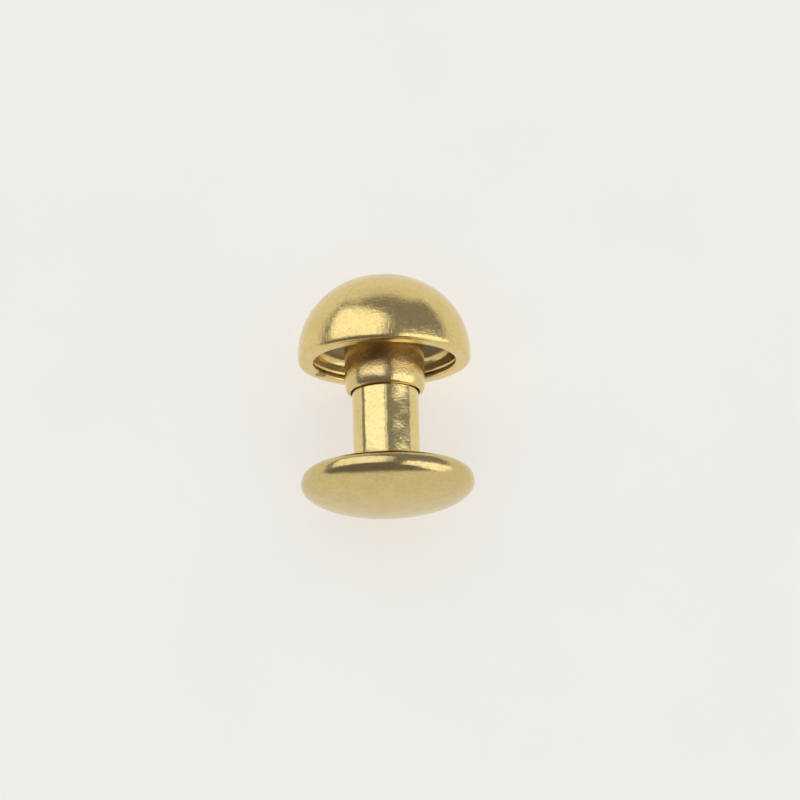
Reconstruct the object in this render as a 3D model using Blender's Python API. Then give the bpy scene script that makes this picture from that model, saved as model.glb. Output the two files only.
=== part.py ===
"""A brass double cap rivet for leather: a domed cap half pushed loosely onto the post of a low cap half.

The rivet lies along Y, its dome towards +Y and its post cap towards -Y. The origin is on the rivet's axis,
midway between the two crowns. The socket slides along Y on the post, and the dome turns about Y.
"""

from math import cos, pi, radians, sin

import bmesh
import bpy

MM = 0.001

# Driving dimensions
SHEET = 0.28 * MM  # the drawn brass that every piece is made of
RUN = 0.05 * MM  # clearance between pieces that move, and between pieces crimped together
HEAD_RADIUS = 4.50 * MM  # both caps, at their widest circle
HEAD_SPACING = 7.03 * MM  # from one widest circle to the other, with the rivet put loosely together
DOME_HEIGHT = 4.18 * MM  # from the dome's widest circle to its crown
DOME_POWER = 2.05  # the crown's curve is a superellipse: 2 is an ellipse, and more is fuller
DOME_CURL = (0.65 * MM, 0.48 * MM)  # how far the dome's rim turns in, and how far it drops
DOME_BEND = 5.0  # the power of that curl's superellipse, which folds in tightly
DOME_OPENING = 3.70 * MM  # inner radius of the dome's curled rim
LOW_HEIGHT = 1.42 * MM  # from the post cap's widest circle to its crown
LOW_POWER = 2.0
LOW_CURL = (0.90 * MM, 0.74 * MM)
LOW_BEND = 2.6
LOW_OPENING = 3.35 * MM
POST_RADIUS = 1.725 * MM
POST_LENGTH = 8.00 * MM  # from the flange's seat to the tip
POST_ROOT = 0.20 * MM  # fillet between the post and its flange
POST_TIP = (0.50 * MM, 0.70 * MM)  # how far the tip draws in, and over what length
FLANGE_RADIUS = 3.88 * MM  # the post's flange, its edge under the post cap's curled rim
FLANGE_DROOP = 0.03 * MM  # how far that edge bends down under the rim
BARREL_RADIUS = 2.08 * MM
LIP_RADIUS = 1.86 * MM  # the socket's lower end, where the barrel has tapered in
LIP_DROP = 2.06 * MM  # from the dome's widest circle down to the socket's lip
TAPER_LENGTH = 0.78 * MM
LIP_EDGE = (0.02 * MM, 0.04 * MM)  # bevel around the lip's mouth: its width and its height
SEAT_DEPTH = 0.66 * MM  # how far the socket's flange lies above the dome's widest circle
FLARE = 0.45 * MM  # fillet between the barrel and its flange
SKIRT_RADIUS = 3.72 * MM  # inner wall of the socket's skirt, just outside the dome's opening
SKIRT_CORNER = 0.45 * MM  # fillet between the flange and the skirt
FOOT_FLARE = 0.20 * MM  # fillet between the skirt and its foot
FOOT_RADIUS = 4.0575 * MM
FOOT_EDGE = (0.12 * MM, 0.22 * MM)  # the foot's height at its edge, and where it meets the skirt
CRIMP = 0.08 * MM  # clearance between the foot and the dome's rim that is curled under it

# Resolution
SEGMENTS = 48
CROWN_STEPS = 11
CURL_STEPS = 4
FILLET_STEPS = 3

# Derived places along Y
AXIS = (0, 1, 0)
HALF_LENGTH = (DOME_HEIGHT + HEAD_SPACING + LOW_HEIGHT) / 2
DOME_PLANE = HALF_LENGTH - DOME_HEIGHT
LOW_PLANE = LOW_HEIGHT - HALF_LENGTH
POST_SEAT = LOW_CURL[1] - SHEET - 2 * RUN  # the post's seat above the post cap's widest circle
FOOT_HEIGHT = CRIMP + SHEET - DOME_CURL[1]  # the foot's underside from the dome's widest circle

BRASS = (0.80, 0.60, 0.22, 1.0)


def arc(centre, radii, start, end, steps):
    """Points (radius, height) on an ellipse, its angles in degrees from outward towards +Y."""
    angles = [radians(start + (end - start) * i / steps) for i in range(steps + 1)]
    return [(centre[0] + radii[0] * cos(a), centre[1] + radii[1] * sin(a)) for a in angles]


def crown(radius, height, power, steps):
    """Points on a quarter of a superellipse, from the axis out to the widest circle."""
    angles = [pi / 2 * (1 - i / steps) for i in range(steps + 1)]
    points = [(radius * cos(a) ** (2 / power), height * sin(a) ** (2 / power)) for a in angles]
    return [(0.0, height)] + points[1:-1] + [(radius, 0.0)]


def brass(name, roughness):
    """A brass material with the given roughness."""
    material = bpy.data.materials.new(name)
    material.use_nodes = True
    shader = material.node_tree.nodes["Principled BSDF"]
    shader.inputs["Base Color"].default_value = BRASS
    shader.inputs["Metallic"].default_value = 1.0
    shader.inputs["Roughness"].default_value = roughness
    material.diffuse_color = BRASS
    return material


def half(name, plane):
    """An empty on the rivet's axis, which carries the pieces of one half."""
    empty = bpy.data.objects.new(name, None)
    empty.location.y = plane
    empty.empty_display_size = HEAD_RADIUS
    bpy.context.collection.objects.link(empty)
    return empty


def turned(name, outline, parent, roughness):
    """The solid that an outline of (radius, height) points sweeps around Y.

    An outline that starts on the axis also ends there. Any other is closed into a ring.
    """
    bm = bmesh.new()
    verts = [bm.verts.new((radius, height, 0)) for radius, height in outline]
    edges = [bm.edges.new(pair) for pair in zip(verts, verts[1:])]
    if outline[0][0] > 0:
        edges.append(bm.edges.new((verts[-1], verts[0])))
    bmesh.ops.spin(
        bm,
        geom=verts + edges,
        cent=(0, 0, 0),
        axis=AXIS,
        angle=2 * pi,
        steps=SEGMENTS,
        use_merge=True,
        use_duplicate=False,
    )
    bmesh.ops.remove_doubles(bm, verts=bm.verts, dist=0.0001 * MM)
    bmesh.ops.recalc_face_normals(bm, faces=bm.faces)
    mesh = bpy.data.meshes.new(name)
    bm.to_mesh(mesh)
    bm.free()
    mesh.shade_smooth()
    mesh.set_sharp_from_angle(angle=radians(35))
    mesh.materials.append(brass(name, roughness))
    piece = bpy.data.objects.new(name, mesh)
    piece.parent = parent
    bpy.context.collection.objects.link(piece)
    return piece


def cap_outline(height, power, curl, bend, opening):
    """A drawn cap: crown up, its rim curled in to the opening, the sheet's end rounded over."""
    turn_in, drop = curl
    roll = HEAD_RADIUS - turn_in
    end = (opening + SHEET / 2, SHEET / 2 - drop)
    outside = crown(turn_in, drop, bend, CURL_STEPS)
    inside = crown(turn_in - SHEET, drop - SHEET, bend, CURL_STEPS)
    return (
        crown(HEAD_RADIUS, height, power, CROWN_STEPS)
        + [(roll + across, -down) for across, down in outside[-2::-1]]
        + arc(end, (SHEET / 2, SHEET / 2), 270, 90, CURL_STEPS)
        + [(roll + across, -down) for across, down in inside]
        + crown(HEAD_RADIUS - SHEET, height - SHEET, power, CROWN_STEPS)[-2::-1]
    )


def dome_cap(parent):
    """The domed cap, its curled rim holding the socket's foot."""
    outline = cap_outline(DOME_HEIGHT, DOME_POWER, DOME_CURL, DOME_BEND, DOME_OPENING)
    return turned("dome_cap", outline, parent, 0.24)


def post_cap(parent):
    """The low cap, turned over so that its crown faces -Y, its curled rim holding the post's flange."""
    outline = cap_outline(LOW_HEIGHT, LOW_POWER, LOW_CURL, LOW_BEND, LOW_OPENING)
    return turned("post_cap", [(radius, -height) for radius, height in outline], parent, 0.26)


def post(parent):
    """A drawn tube, closed at its tip and open at its flange, which the post cap covers."""
    draw_in, tip = POST_TIP
    bend = POST_ROOT + SHEET
    root = (POST_RADIUS + POST_ROOT, POST_ROOT)
    shoulder = (POST_RADIUS - draw_in, POST_LENGTH - tip)
    outline = (
        [(0.0, POST_LENGTH)]
        + arc(shoulder, POST_TIP, 90, 0, CURL_STEPS)
        + arc(root, (POST_ROOT, POST_ROOT), 180, 270, FILLET_STEPS)
        + [(LOW_OPENING - RUN, 0.0), (FLANGE_RADIUS, -FLANGE_DROOP), (FLANGE_RADIUS, -SHEET)]
        + arc(root, (bend, bend), 270, 180, FILLET_STEPS)
        + arc(shoulder, (draw_in - SHEET, tip - SHEET), 0, 90, FILLET_STEPS)
        + [(0.0, POST_LENGTH - SHEET)]
    )
    piece = turned("post", outline, parent, 0.28)
    piece.location.y = POST_SEAT
    return piece


def socket(parent):
    """A drawn barrel with a tapered lip, a flange at the bottom of the dome's recess, and a skirt.

    The skirt stands against the dome's wall, and its foot is what the dome's rim curls under.
    """
    bore = POST_RADIUS + RUN
    top = SEAT_DEPTH + SHEET
    lip = (LIP_RADIUS, TAPER_LENGTH - LIP_DROP)
    taper = (BARREL_RADIUS - LIP_RADIUS, TAPER_LENGTH)
    bend = FLARE + SHEET
    under = (SKIRT_RADIUS - SKIRT_CORNER, SEAT_DEPTH - SKIRT_CORNER)
    outer_corner = SKIRT_CORNER + SHEET
    foot = (SKIRT_RADIUS + FOOT_FLARE, FOOT_HEIGHT + FOOT_FLARE)
    mouth = [(bore, LIP_EDGE[1] - LIP_DROP), (bore + LIP_EDGE[0], -LIP_DROP)]
    outline = (
        mouth
        + [(LIP_RADIUS - LIP_EDGE[0], -LIP_DROP)]
        + arc(lip, taper, -80, 0, CURL_STEPS)
        + arc((BARREL_RADIUS + FLARE, SEAT_DEPTH - FLARE), (FLARE, FLARE), 180, 90, FILLET_STEPS)
        + arc(under, (SKIRT_CORNER, SKIRT_CORNER), 90, 0, FILLET_STEPS)
        + arc(foot, (FOOT_FLARE, FOOT_FLARE), 180, 270, FILLET_STEPS)
        + [(FOOT_RADIUS, FOOT_HEIGHT), (FOOT_RADIUS, FOOT_HEIGHT + FOOT_EDGE[0])]
        + [(SKIRT_RADIUS + SHEET, FOOT_HEIGHT + FOOT_EDGE[1])]
        + arc(under, (outer_corner, outer_corner), 0, 90, FILLET_STEPS)
        + arc((BARREL_RADIUS + FLARE, top - bend), (bend, bend), 90, 180, FILLET_STEPS)
    )
    return turned("socket", outline, parent, 0.34)


def main():
    """Clear the scene and build both halves of the rivet."""
    for existing in list(bpy.data.objects):
        bpy.data.objects.remove(existing, do_unlink=True)
    post_half = half("post_half", LOW_PLANE)
    post_cap(post_half)
    post(post_half)
    cap_half = half("cap_half", DOME_PLANE)
    socket(cap_half)
    dome_cap(cap_half)


main()
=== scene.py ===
from math import cos, exp, pi, radians, sin

import bmesh
import bpy
from mathutils import Matrix, Vector, noise


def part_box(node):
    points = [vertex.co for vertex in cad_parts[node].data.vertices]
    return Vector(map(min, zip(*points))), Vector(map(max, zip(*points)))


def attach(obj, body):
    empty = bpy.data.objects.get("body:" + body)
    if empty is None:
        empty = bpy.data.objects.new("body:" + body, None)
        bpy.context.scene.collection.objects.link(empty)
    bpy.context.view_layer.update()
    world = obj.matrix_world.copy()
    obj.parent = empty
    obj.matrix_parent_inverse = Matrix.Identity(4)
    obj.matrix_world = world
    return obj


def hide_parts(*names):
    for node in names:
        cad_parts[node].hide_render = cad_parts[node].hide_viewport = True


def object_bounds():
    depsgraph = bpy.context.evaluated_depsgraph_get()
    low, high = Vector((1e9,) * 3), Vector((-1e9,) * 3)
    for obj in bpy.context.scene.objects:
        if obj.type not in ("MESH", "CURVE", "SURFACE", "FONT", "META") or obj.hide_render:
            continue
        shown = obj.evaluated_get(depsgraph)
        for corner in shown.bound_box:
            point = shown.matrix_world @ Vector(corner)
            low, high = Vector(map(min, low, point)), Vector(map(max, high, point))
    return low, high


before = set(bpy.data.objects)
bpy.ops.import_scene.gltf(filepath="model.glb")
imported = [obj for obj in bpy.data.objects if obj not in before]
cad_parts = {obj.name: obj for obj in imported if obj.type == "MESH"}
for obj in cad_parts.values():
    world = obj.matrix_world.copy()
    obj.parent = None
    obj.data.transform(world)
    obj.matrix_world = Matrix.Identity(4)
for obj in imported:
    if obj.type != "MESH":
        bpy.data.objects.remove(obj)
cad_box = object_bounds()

MM = 0.001

# The rivet's dimensions, as the solids have them, apart from CRIMP
SHEET = 0.28 * MM
RUN = 0.05 * MM
HEAD_RADIUS = 4.50 * MM
DOME_HEIGHT = 4.18 * MM
DOME_POWER = 2.05
DOME_CURL = (0.65 * MM, 0.48 * MM)
DOME_BEND = 5.0
DOME_OPENING = 3.70 * MM
LOW_HEIGHT = 1.42 * MM
LOW_POWER = 2.0
LOW_CURL = (0.90 * MM, 0.74 * MM)
LOW_BEND = 2.6
LOW_OPENING = 3.35 * MM
POST_RADIUS = 1.725 * MM
POST_ROOT = 0.20 * MM
POST_TIP = (0.50 * MM, 0.70 * MM)
FLANGE_RADIUS = 3.88 * MM
FLANGE_DROOP = 0.03 * MM
BARREL_RADIUS = 2.08 * MM
LIP_RADIUS = 1.86 * MM
LIP_DROP = 2.06 * MM
TAPER_LENGTH = 0.78 * MM
LIP_EDGE = (0.02 * MM, 0.04 * MM)
SEAT_DEPTH = 0.66 * MM
FLARE = 0.45 * MM
SKIRT_RADIUS = 3.72 * MM
SKIRT_CORNER = 0.45 * MM
FOOT_FLARE = 0.20 * MM
FOOT_RADIUS = 4.0575 * MM
FOOT_EDGE = (0.12 * MM, 0.22 * MM)
CRIMP = 0.035 * MM  # tighter than the solids' 0.08 mm, as crimped sheet shows no open seam

# Places along Y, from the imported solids
DOME_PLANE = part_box("dome_cap")[1].y - DOME_HEIGHT
LOW_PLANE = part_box("post_cap")[0].y + LOW_HEIGHT
POST_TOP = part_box("post")[1].y
POST_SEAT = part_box("post")[0].y + SHEET
FLOOR_Z = cad_box[0].z

SEGMENTS = 256
SHARP_EDGE = radians(38)  # edges that turn by more than this stay sharp
FLOOR_RADIUS = 0.7


# ---------------------------------------------------------------- outlines

def arc(centre, radii, start, end, steps):
    """Points (radius, height) on an ellipse, its angles in degrees from outward towards +Y."""
    angles = [radians(start + (end - start) * i / steps) for i in range(steps + 1)]
    return [(centre[0] + radii[0] * cos(a), centre[1] + radii[1] * sin(a)) for a in angles]


def crown(radius, height, power, steps):
    """Points on a quarter of a superellipse, from the axis out to the widest circle."""
    angles = [pi / 2 * (1 - i / steps) for i in range(steps + 1)]
    points = [(radius * cos(a) ** (2 / power), height * sin(a) ** (2 / power)) for a in angles]
    return [(0.0, height)] + points[1:-1] + [(radius, 0.0)]


def run(start, end, steps):
    """Points on a straight line, without its first."""
    return [tuple(a + (b - a) * i / steps for a, b in zip(start, end)) for i in range(1, steps + 1)]


def cap_outline(height, power, curl, bend, opening):
    """A drawn cap: crown up, its rim curled in to the opening, the sheet's end rounded over."""
    turn_in, drop = curl
    roll = HEAD_RADIUS - turn_in
    end = (opening + SHEET / 2, SHEET / 2 - drop)
    outside = crown(turn_in, drop, bend, 40)
    inside = crown(turn_in - SHEET, drop - SHEET, bend, 12)
    return (
        crown(HEAD_RADIUS, height, power, 72)
        + [(roll + across, -down) for across, down in outside[-2::-1]]
        + arc(end, (SHEET / 2, SHEET / 2), 270, 90, 14)
        + [(roll + across, -down) for across, down in inside]
        + crown(HEAD_RADIUS - SHEET, height - SHEET, power, 32)[-2::-1]
    )


def post_outline():
    """A drawn tube, closed at its tip and open at its flange. Heights are from the flange's seat."""
    length = POST_TOP - POST_SEAT
    draw_in, tip = POST_TIP
    bend = POST_ROOT + SHEET
    root = (POST_RADIUS + POST_ROOT, POST_ROOT)
    shoulder = (POST_RADIUS - draw_in, length - tip)
    flange = [(LOW_OPENING - RUN, 0.0), (FLANGE_RADIUS, -FLANGE_DROOP), (FLANGE_RADIUS, -SHEET)]
    down = arc(shoulder, POST_TIP, 90, 0, 16)
    foot = arc(root, (POST_ROOT, POST_ROOT), 180, 270, 10)
    return (
        [(0.0, length)]
        + down
        + run(down[-1], foot[0], 48)
        + foot[1:]
        + run(foot[-1], flange[0], 12)
        + run(flange[0], flange[1], 4)
        + flange[2:]
        + arc(root, (bend, bend), 270, 180, 8)
        + arc(shoulder, (draw_in - SHEET, tip - SHEET), 0, 90, 8)
        + [(0.0, length - SHEET)]
    )


def socket_outline():
    """A drawn barrel with a tapered lip, a flange and a skirt. Heights are from the dome's widest circle."""
    bore = POST_RADIUS + RUN
    top = SEAT_DEPTH + SHEET
    foot_height = CRIMP + SHEET - DOME_CURL[1]
    lip = (LIP_RADIUS, TAPER_LENGTH - LIP_DROP)
    taper = (BARREL_RADIUS - LIP_RADIUS, TAPER_LENGTH)
    bend = FLARE + SHEET
    under = (SKIRT_RADIUS - SKIRT_CORNER, SEAT_DEPTH - SKIRT_CORNER)
    outer_corner = SKIRT_CORNER + SHEET
    foot = (SKIRT_RADIUS + FOOT_FLARE, foot_height + FOOT_FLARE)
    narrow = [(lip[0] + out, lip[1] - down) for out, down in crown(*taper, 3.0, 24)[1:]]
    flare = arc((BARREL_RADIUS + FLARE, SEAT_DEPTH - FLARE), (FLARE, FLARE), 180, 90, 14)
    inner = arc(under, (SKIRT_CORNER, SKIRT_CORNER), 90, 0, 8)
    skirt = arc(foot, (FOOT_FLARE, FOOT_FLARE), 180, 270, 8)
    outer = arc(under, (outer_corner, outer_corner), 0, 90, 8)
    back = arc((BARREL_RADIUS + FLARE, top - bend), (bend, bend), 90, 180, 10)
    mouth = [
        (bore, LIP_EDGE[1] - LIP_DROP),
        (bore + LIP_EDGE[0], -LIP_DROP),
        (LIP_RADIUS - LIP_EDGE[0], -LIP_DROP),
    ]
    return (
        mouth
        + narrow
        + run(narrow[-1], flare[0], 16)
        + flare[1:]
        + run(flare[-1], inner[0], 10)
        + inner[1:]
        + run(inner[-1], skirt[0], 6)
        + skirt[1:]
        + [(FOOT_RADIUS, foot_height), (FOOT_RADIUS, foot_height + FOOT_EDGE[0])]
        + [(SKIRT_RADIUS + SHEET, foot_height + FOOT_EDGE[1])]
        + outer
        + back
        + run(back[-1], mouth[0], 12)[:-1]
    )


# ---------------------------------------------------------------- meshes

def turned(name, outline):
    """A mesh that an outline of (radius, y) points sweeps around Y, in quads."""
    bm = bmesh.new()
    rings = []
    for radius, height in outline:
        if radius < 1e-9:
            rings.append([bm.verts.new((0, height, 0))])
            continue
        turn = [2 * pi * k / SEGMENTS for k in range(SEGMENTS)]
        rings.append([bm.verts.new((radius * cos(a), height, radius * sin(a))) for a in turn])
    pairs = list(zip(rings, rings[1:]))
    if len(rings[0]) > 1:
        pairs.append((rings[-1], rings[0]))
    for upper, lower in pairs:
        for k in range(SEGMENTS):
            j = (k + 1) % SEGMENTS
            if len(upper) == 1:
                corners = (upper[0], lower[j], lower[k])
            elif len(lower) == 1:
                corners = (upper[k], upper[j], lower[0])
            else:
                corners = (upper[k], upper[j], lower[j], lower[k])
            bm.faces.new(corners)
    bmesh.ops.recalc_face_normals(bm, faces=bm.faces)
    mesh = bpy.data.meshes.new(name)
    bm.to_mesh(mesh)
    bm.free()
    return mesh


def waves(point, terms, seed):
    """A sum of smooth noises, each with its size and height in millimetres."""
    shift = Vector((seed * 7.3, seed * 3.1, seed * 5.7))
    return sum(height * MM * noise.noise(point / (size * MM) + shift) for size, height in terms)


def pressed(mesh, terms, seed, dents=()):
    """Moves each vertex along its normal by the unevenness that drawing and tumbling leave."""
    normals = [v.normal.copy() for v in mesh.vertices]
    for v, normal in zip(mesh.vertices, normals):
        shift = waves(v.co, terms, seed)
        for centre, reach, depth in dents:
            shift -= depth * exp(-(((v.co - centre).length / reach) ** 2))
        v.co = v.co + normal * shift


def piece(name, outline, body, node, material, terms, seed, dents=()):
    """A turned and pressed piece, which rides on its body and takes its solid's place."""
    mesh = turned(name, outline)
    pressed(mesh, terms, seed, dents)
    mesh.shade_smooth()
    mesh.set_sharp_from_angle(angle=SHARP_EDGE)
    mesh.materials.append(material)
    made = bpy.data.objects.new(name, mesh)
    bpy.context.scene.collection.objects.link(made)
    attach(made, body)
    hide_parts(node)


# ---------------------------------------------------------------- materials

class Nodes:
    """A short way to add and join a material's nodes."""

    def __init__(self, tree):
        self.tree = tree

    def add(self, kind, **values):
        node = self.tree.nodes.new(kind)
        for key, value in values.items():
            setattr(node, key, value)
        return node

    def put(self, socket, value):
        if isinstance(value, bpy.types.NodeSocket):
            self.tree.links.new(value, socket)
        else:
            socket.default_value = value

    def math(self, operation, a, b=0.0, clamp=False):
        node = self.add("ShaderNodeMath", operation=operation, use_clamp=clamp)
        self.put(node.inputs[0], a)
        self.put(node.inputs[1], b)
        return node.outputs[0]

    def ramp(self, value, low, high, to_low=0.0, to_high=1.0):
        """A value from low to high, brought smoothly to the range from to_low to to_high."""
        node = self.add("ShaderNodeMapRange", interpolation_type="SMOOTHSTEP")
        self.put(node.inputs["Value"], value)
        for key, number in (("From Min", low), ("From Max", high), ("To Min", to_low), ("To Max", to_high)):
            node.inputs[key].default_value = number
        return node.outputs["Result"]

    def mix(self, factor, a, b):
        node = self.add("ShaderNodeMix", data_type="RGBA")
        self.put(node.inputs[0], factor)
        self.put(node.inputs[6], a)
        self.put(node.inputs[7], b)
        return node.outputs[2]

    def place(self, stretch=(1, 1, 1)):
        coordinates = self.add("ShaderNodeTexCoord")
        mapping = self.add("ShaderNodeMapping")
        mapping.inputs["Scale"].default_value = stretch
        self.tree.links.new(coordinates.outputs["Object"], mapping.inputs["Vector"])
        return mapping.outputs["Vector"]

    def noise(self, size_mm, detail=2.0, roughness=0.5, stretch=(1, 1, 1)):
        node = self.add("ShaderNodeTexNoise")
        node.inputs["Scale"].default_value = 1 / (size_mm * MM)
        node.inputs["Detail"].default_value = detail
        node.inputs["Roughness"].default_value = roughness
        self.tree.links.new(self.place(stretch), node.inputs["Vector"])
        return node.outputs["Fac"]

    def cells(self, size_mm):
        node = self.add("ShaderNodeTexVoronoi")
        node.inputs["Scale"].default_value = 1 / (size_mm * MM)
        self.tree.links.new(self.place(), node.inputs["Vector"])
        return node.outputs["Distance"]

    def around(self):
        """The radius from the rivet's axis and the height along it, in millimetres."""
        split = self.add("ShaderNodeSeparateXYZ")
        self.tree.links.new(self.place(), split.inputs[0])
        x, y, z = split.outputs
        square = self.math("ADD", self.math("MULTIPLY", x, x), self.math("MULTIPLY", z, z))
        radius = self.math("DIVIDE", self.math("SQRT", square), MM)
        return radius, self.math("DIVIDE", y, MM)

    def bump(self, height, distance_mm, after=None):
        node = self.add("ShaderNodeBump")
        node.inputs["Strength"].default_value = 1.0
        node.inputs["Distance"].default_value = distance_mm * MM
        self.put(node.inputs["Height"], height)
        if after is not None:
            self.put(node.inputs["Normal"], after)
        return node.outputs["Normal"]


def brass(
    name, light, deep, roughness, spread, grain, peel, drawn=0.0, pits=0.0, painted_light=None, scratches=()
):
    """Brass in two mottled tones, its roughness within spread of the given value.

    grain and peel are (size, height) in millimetres of a fine and a coarse unevenness. drawn is the height of
    the lengthwise lines that a drawing die leaves, and pits is the depth of small dark pits. The function
    given after pits adds a piece's painted shade and painted reflection, and each of scratches is the scale
    along X, Y and Z of one set of fine scratches.
    """
    material = bpy.data.materials.new(name)
    material.use_nodes = True
    n = Nodes(material.node_tree)
    shader = material.node_tree.nodes["Principled BSDF"]
    shader.inputs["Metallic"].default_value = 1.0
    colour = n.mix(n.ramp(n.noise(0.9, 4.0, 0.6), 0.35, 0.65), light + (1,), deep + (1,))
    speck = n.ramp(n.noise(0.15, 4.0, 0.75), 0.48, 0.70)
    colour = n.mix(n.math("MULTIPLY", speck, 0.55), colour, tuple(0.66 * c for c in deep) + (1,))
    rough = n.ramp(n.noise(0.35, 3.0, 0.6), 0.3, 0.7, roughness - spread, roughness + spread)
    normal = n.bump(n.noise(peel[0], 2.0, 0.5), peel[1])
    normal = n.bump(n.noise(grain[0], 3.0, 0.65), grain[1], normal)
    for stretch in scratches:
        scratch = n.ramp(n.noise(0.09, 3.0, 0.5, stretch), 0.58, 0.72)
        normal = n.bump(n.math("MULTIPLY", scratch, -1.0), 0.3 * grain[1], normal)
    if drawn:
        lines = n.noise(0.05, 2.0, 0.5, (1, 0.03, 1))
        normal = n.bump(lines, drawn, normal)
    if pits:
        pit = n.ramp(n.cells(0.9), 0.02, 0.07, 1.0, 0.0)
        colour = n.mix(pit, colour, PIT)
        normal = n.bump(n.math("MULTIPLY", pit, -1.0), pits, normal)
        rough = n.math("ADD", rough, n.math("MULTIPLY", pit, 0.3))
    # a piece's painted shade and painted reflection go into its colour and roughness here
    if painted_light:
        colour, rough = painted_light(n, colour, rough)
    n.put(shader.inputs["Base Color"], colour)
    n.put(shader.inputs["Roughness"], rough)
    n.put(shader.inputs["Normal"], normal)
    return material


# Painted shade and painted reflection tones, and the dark of real pits, red, green, blue and opacity
BORE_SHADE = (0.13, 0.095, 0.055, 1)
FLANGE_SHADE = (0.29, 0.245, 0.215, 1)
SHADED = (0.70, 0.56, 0.34, 1)
RIM_SHADE = (0.40, 0.28, 0.13, 1)
FOOT_REFLECTION = (0.40, 0.27, 0.12, 1)
PIT = (0.16, 0.10, 0.04, 1)


def socket_painted_shade(n, colour, rough):
    """Painted shade: the bore is dark, the flange deep inside the dome is dark grey, and the barrel next to
    it is duller.
    """
    radius, height = n.around()
    # painted shade: the bore within the lip is made dark, for the shaded gap between lip and post
    bore = n.ramp(radius, 1.80, 1.84, 1.0, 0.0)
    # painted shade: the flange deep inside the dome gets a dark grey
    uneven = n.math("MULTIPLY", n.noise(0.5, 2.0, 0.5), 0.2)
    within = n.ramp(n.math("ADD", radius, uneven), 3.52, 3.64, 1.0, 0.0)
    flange = n.math("MULTIPLY", within, n.ramp(height, 2.52, 2.66))
    # painted shade: the barrel under the dome's rim gets a duller brown
    shade = n.math("MULTIPLY", n.ramp(height, 0.9, 1.6), n.ramp(radius, 2.5, 3.4, 1.0, 0.0))
    colour = n.mix(shade, colour, SHADED)
    colour = n.mix(flange, colour, FLANGE_SHADE)
    colour = n.mix(bore, colour, BORE_SHADE)
    dull = n.math("MAXIMUM", n.math("MAXIMUM", bore, flange), n.math("MULTIPLY", shade, 0.4))
    return colour, n.math("ADD", rough, n.math("MULTIPLY", dull, 0.3))


def painted_dark_spot(n, colour, rough, centre, reach, ragged, tone):
    """A dark spot of painted shade around a place on the surface. reach and ragged are in millimetres."""
    away = n.add("ShaderNodeVectorMath", operation="DISTANCE")
    n.put(away.inputs[0], n.place())
    away.inputs[1].default_value = centre
    edge = n.math("MULTIPLY", n.noise(0.3, 2.0, 0.6), ragged)
    distance = n.math("ADD", n.math("DIVIDE", away.outputs["Value"], MM), edge)
    spot = n.ramp(distance, reach + 0.5 * ragged, reach + 0.5 * ragged + 0.08, 1.0, 0.0)
    return n.mix(spot, colour, tone), n.math("ADD", rough, n.math("MULTIPLY", spot, 0.3))


def dome_painted_shade(n, colour, rough):
    """Painted shade on the rim: a small dark patch where the gap inside the curl lies in shade."""
    place = (-3.27 * MM, DOME_PLANE - 0.45 * MM, -1.72 * MM)
    return painted_dark_spot(n, colour, rough, place, 0.36, 0.12, RIM_SHADE)


def post_foot_reflection(n, colour, rough):
    """The post's foot is dark brown, a painted reflection just above the low cap."""
    radius, height = n.around()
    ragged = n.math("ADD", height, n.math("MULTIPLY", n.noise(0.6, 4.0, 0.65), 1.1))
    foot = n.math("MULTIPLY", n.ramp(ragged, -3.25, -2.85, 0.85, 0.0), n.ramp(radius, 1.9, 2.6, 1.0, 0.25))
    colour = n.mix(foot, colour, FOOT_REFLECTION)
    return colour, n.math("ADD", rough, n.math("MULTIPLY", foot, 0.25))


PAPER_LIGHTER = (0.885, 0.873, 0.850, 1)
PAPER_DARKER = (0.870, 0.858, 0.834, 1)


def paper():
    """Plain white paper, with a faint mottle and tooth."""
    material = bpy.data.materials.new("paper")
    material.use_nodes = True
    n = Nodes(material.node_tree)
    shader = material.node_tree.nodes["Principled BSDF"]
    tone = n.ramp(n.noise(14.0, 3.0, 0.5), 0.3, 0.7)
    n.put(shader.inputs["Base Color"], n.mix(tone, PAPER_LIGHTER, PAPER_DARKER))
    shader.inputs["Roughness"].default_value = 0.9
    shader.inputs["Specular IOR Level"].default_value = 0.1
    n.put(shader.inputs["Normal"], n.bump(n.noise(0.25, 4.0, 0.6), 0.006))
    return material


# ---------------------------------------------------------------- the rivet

GOLD = (0.80, 0.62, 0.252)
DEEP = (0.76, 0.58, 0.23)
CROSSED = ((1, 0.10, 0.6), (0.12, 1, 0.8))

cap_brass = brass(
    "cap_brass", GOLD, DEEP, 0.165, 0.035, (0.16, 0.0080), (0.7, 0.004), painted_light=dome_painted_shade, scratches=CROSSED
)
low_brass = brass(
    "low_cap_brass", (0.695, 0.545, 0.234), (0.655, 0.505, 0.214), 0.16, 0.03, (0.16, 0.0055), (0.6, 0.004),
    scratches=CROSSED,
)
socket_brass = brass(
    "socket_brass", GOLD, (0.74, 0.56, 0.25), 0.13, 0.03, (0.11, 0.0090), (0.2, 0.006), painted_light=socket_painted_shade
)
post_brass = brass(
    "post_brass", (0.84, 0.67, 0.29), (0.79, 0.62, 0.26), 0.11, 0.03, (0.12, 0.0034), (0.30, 0.006), 0.0008,
    0.01, painted_light=post_foot_reflection,
)


def at(outline, plane, side=1):
    """The outline moved to its plane along Y, turned over where side is -1."""
    return [(radius, plane + side * height) for radius, height in outline]


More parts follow.
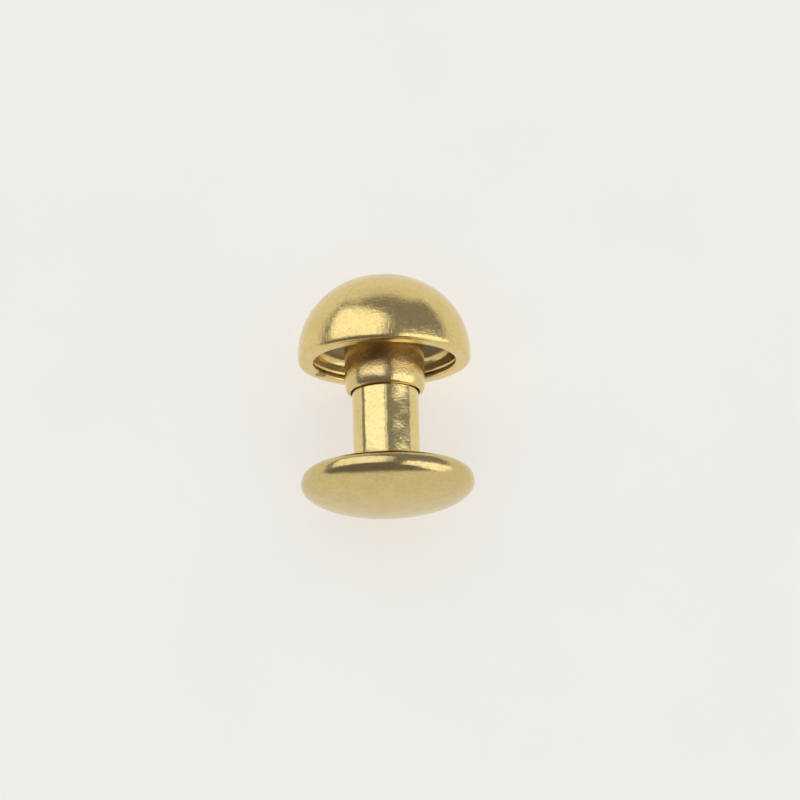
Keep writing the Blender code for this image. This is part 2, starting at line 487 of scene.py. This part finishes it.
piece(
    "dome_shell",
    at(cap_outline(DOME_HEIGHT, DOME_POWER, DOME_CURL, DOME_BEND, DOME_OPENING), DOME_PLANE),
    "dome", "dome_cap", cap_brass, ((2.2, 0.012), (0.8, 0.003)), 1,
)
piece(
    "post_cap_shell",
    at(cap_outline(LOW_HEIGHT, LOW_POWER, LOW_CURL, LOW_BEND, LOW_OPENING), LOW_PLANE, -1),
    "post_half", "post_cap", low_brass, ((2.0, 0.010), (0.8, 0.003)), 2,
)
piece(
    "post_tube", at(post_outline(), POST_SEAT),
    "post_half", "post", post_brass, ((1.1, 0.007), (0.5, 0.003)), 3,
    dents=(
        (Vector((0.85, -0.86, 1.50)) * MM, 0.62 * MM, 0.026 * MM),
        (Vector((0.95, -1.60, 1.44)) * MM, 0.40 * MM, 0.016 * MM),
        (Vector((0.75, -2.40, 1.55)) * MM, 0.44 * MM, 0.012 * MM),
    ),
)
piece(
    "socket_barrel", at(socket_outline(), DOME_PLANE),
    "socket", "socket", socket_brass, ((0.9, 0.005),), 4,
)


# ---------------------------------------------------------------- floor

def floor():
    """The sheet of paper that the rivet lies on."""
    bm = bmesh.new()
    bmesh.ops.create_circle(bm, cap_ends=True, segments=96, radius=FLOOR_RADIUS)
    mesh = bpy.data.meshes.new("paper")
    bm.to_mesh(mesh)
    bm.free()
    made = bpy.data.objects.new("paper", mesh)
    made.location.z = FLOOR_Z
    mesh.materials.append(paper())
    bpy.context.scene.collection.objects.link(made)


floor()


# ---------------------------------------------------------------- light

def panel(name, direction, up, spans, radiance, distance=0.25, turn=0.0):
    """A softbox that only reflections show. Its plane faces the rivet from direction, up says which way its
    height runs, and spans are (left, right, bottom, top) in that plane, as seen from the rivet, in units of
    its distance."""
    back = Vector(direction).normalized()
    rise = Vector(up)
    rise = (rise - back * rise.dot(back)).normalized()
    across = back.cross(rise)
    rise, across = rise * cos(turn) + across * sin(turn), across * cos(turn) - rise * sin(turn)
    left, right, bottom, top = spans
    light = bpy.data.lights.new(name, "AREA")
    light.shape = "RECTANGLE"
    light.size, light.size_y = (right - left) * distance, (top - bottom) * distance
    light.energy = radiance * pi * light.size * light.size_y
    made = bpy.data.objects.new(name, light)
    place = (back + across * (left + right) / 2 + rise * (bottom + top) / 2) * distance
    made.matrix_world = Matrix.Translation(place) @ Matrix((across, rise, back)).transposed().to_4x4()
    made.visible_camera = False
    made.visible_diffuse = False
    bpy.context.scene.collection.objects.link(made)


def lamp():
    """The even light on the paper."""
    light = bpy.data.lights.new("lamp", "SUN")
    light.energy = PAPER_LIGHT * pi
    light.use_shadow = False
    made = bpy.data.objects.new("lamp", light)
    made.visible_glossy = False
    bpy.context.scene.collection.objects.link(made)


WINDOW = (-0.62, 0.35, 0.70)
RIGHT = (0.84, -0.11, 0.53)
PAPER_LIGHT = 0.56
AMBIENT = 0.42
WINDOW_LIGHT = 1.08
RIGHT_LIGHT = 1.27
WINDOW_TURN = radians(-8)
DIM_FRONT = (0.185, 0.185, 0.215, 1)
DIM_BACK = (0.27, 0.275, 0.33, 1)
CARD = (0.80, 0.79, 0.77, 1)
BACKDROP = (0.84, 0.83, 0.81, 1)

panel("window", WINDOW, (0, 1, 0), (-0.75, 0.65, -0.19, 0.62), WINDOW_LIGHT, turn=WINDOW_TURN)
panel("window_strip", WINDOW, (0, 1, 0), (-0.93, -0.84, -0.19, 0.62), WINDOW_LIGHT, turn=WINDOW_TURN)
panel("right_low", RIGHT, (0, 1, 0), (-0.66, 0.10, -0.80, 0.38), RIGHT_LIGHT)
panel("right_high", RIGHT, (0, 1, 0), (0.10, 0.70, -0.52, 0.38), RIGHT_LIGHT)
lamp()


def surroundings():
    """A dim room for reflections, with a pale card low behind the rivet and a glow low in front of it."""
    world = bpy.data.worlds.new("studio")
    bpy.context.scene.world = world
    world.use_nodes = True
    tree = world.node_tree
    tree.nodes.clear()
    n = Nodes(tree)
    path = n.add("ShaderNodeLightPath")
    towards = n.add("ShaderNodeTexCoord")
    split = n.add("ShaderNodeSeparateXYZ")
    n.put(split.inputs[0], towards.outputs["Generated"])
    x, y, z = split.outputs
    dim = n.mix(n.ramp(y, -0.3, 0.2), DIM_FRONT, DIM_BACK)
    front = n.math("MULTIPLY", n.ramp(z, 0.0, 0.27, 1.0, 0.0), n.ramp(y, -0.75, -0.45, 1.0, 0.0))
    card = n.math("MULTIPLY", n.ramp(z, 0.12, 0.40, 1.0, 0.0), n.ramp(y, 0.80, 0.90))
    seen = n.mix(n.math("MAXIMUM", front, card), dim, CARD)
    soft = n.mix(n.math("GREATER_THAN", path.outputs["Diffuse Depth"], 0.5), seen, (AMBIENT,) * 3 + (1,))
    shown = n.mix(path.outputs["Is Camera Ray"], soft, BACKDROP)
    back = n.add("ShaderNodeBackground")
    n.put(back.inputs["Color"], shown)
    out = n.add("ShaderNodeOutputWorld")
    n.put(out.inputs["Surface"], back.outputs[0])


surroundings()


# ---------------------------------------------------------------- camera

VIEW_ELEVATION = radians(73.6)
VIEW_ROLL = radians(1.6)
VIEW_DISTANCE = 0.26
AIM = (0.766 * MM, -0.323 * MM)  # to the right and up from the origin, in the picture's plane
LENS = 224.5
SENSOR = 36.0


def camera():
    """A long lens, high in front of the rivet and a little rolled."""
    data = bpy.data.cameras.new("camera")
    data.lens = LENS
    data.sensor_width = SENSOR
    data.clip_start, data.clip_end = 0.01, 10.0
    back = Vector((0, -cos(VIEW_ELEVATION), sin(VIEW_ELEVATION)))
    level_up = Vector((0, sin(VIEW_ELEVATION), cos(VIEW_ELEVATION)))
    level_right = Vector((1, 0, 0))
    up = level_up * cos(VIEW_ROLL) + level_right * sin(VIEW_ROLL)
    right = level_right * cos(VIEW_ROLL) - level_up * sin(VIEW_ROLL)
    target = right * AIM[0] + up * AIM[1]
    made = bpy.data.objects.new("camera", data)
    turn = Matrix((right, up, back)).transposed().to_4x4()
    made.matrix_world = Matrix.Translation(target + back * VIEW_DISTANCE) @ turn
    bpy.context.scene.collection.objects.link(made)
    bpy.context.scene.camera = made


camera()
bpy.context.scene.view_settings.view_transform = "Standard"
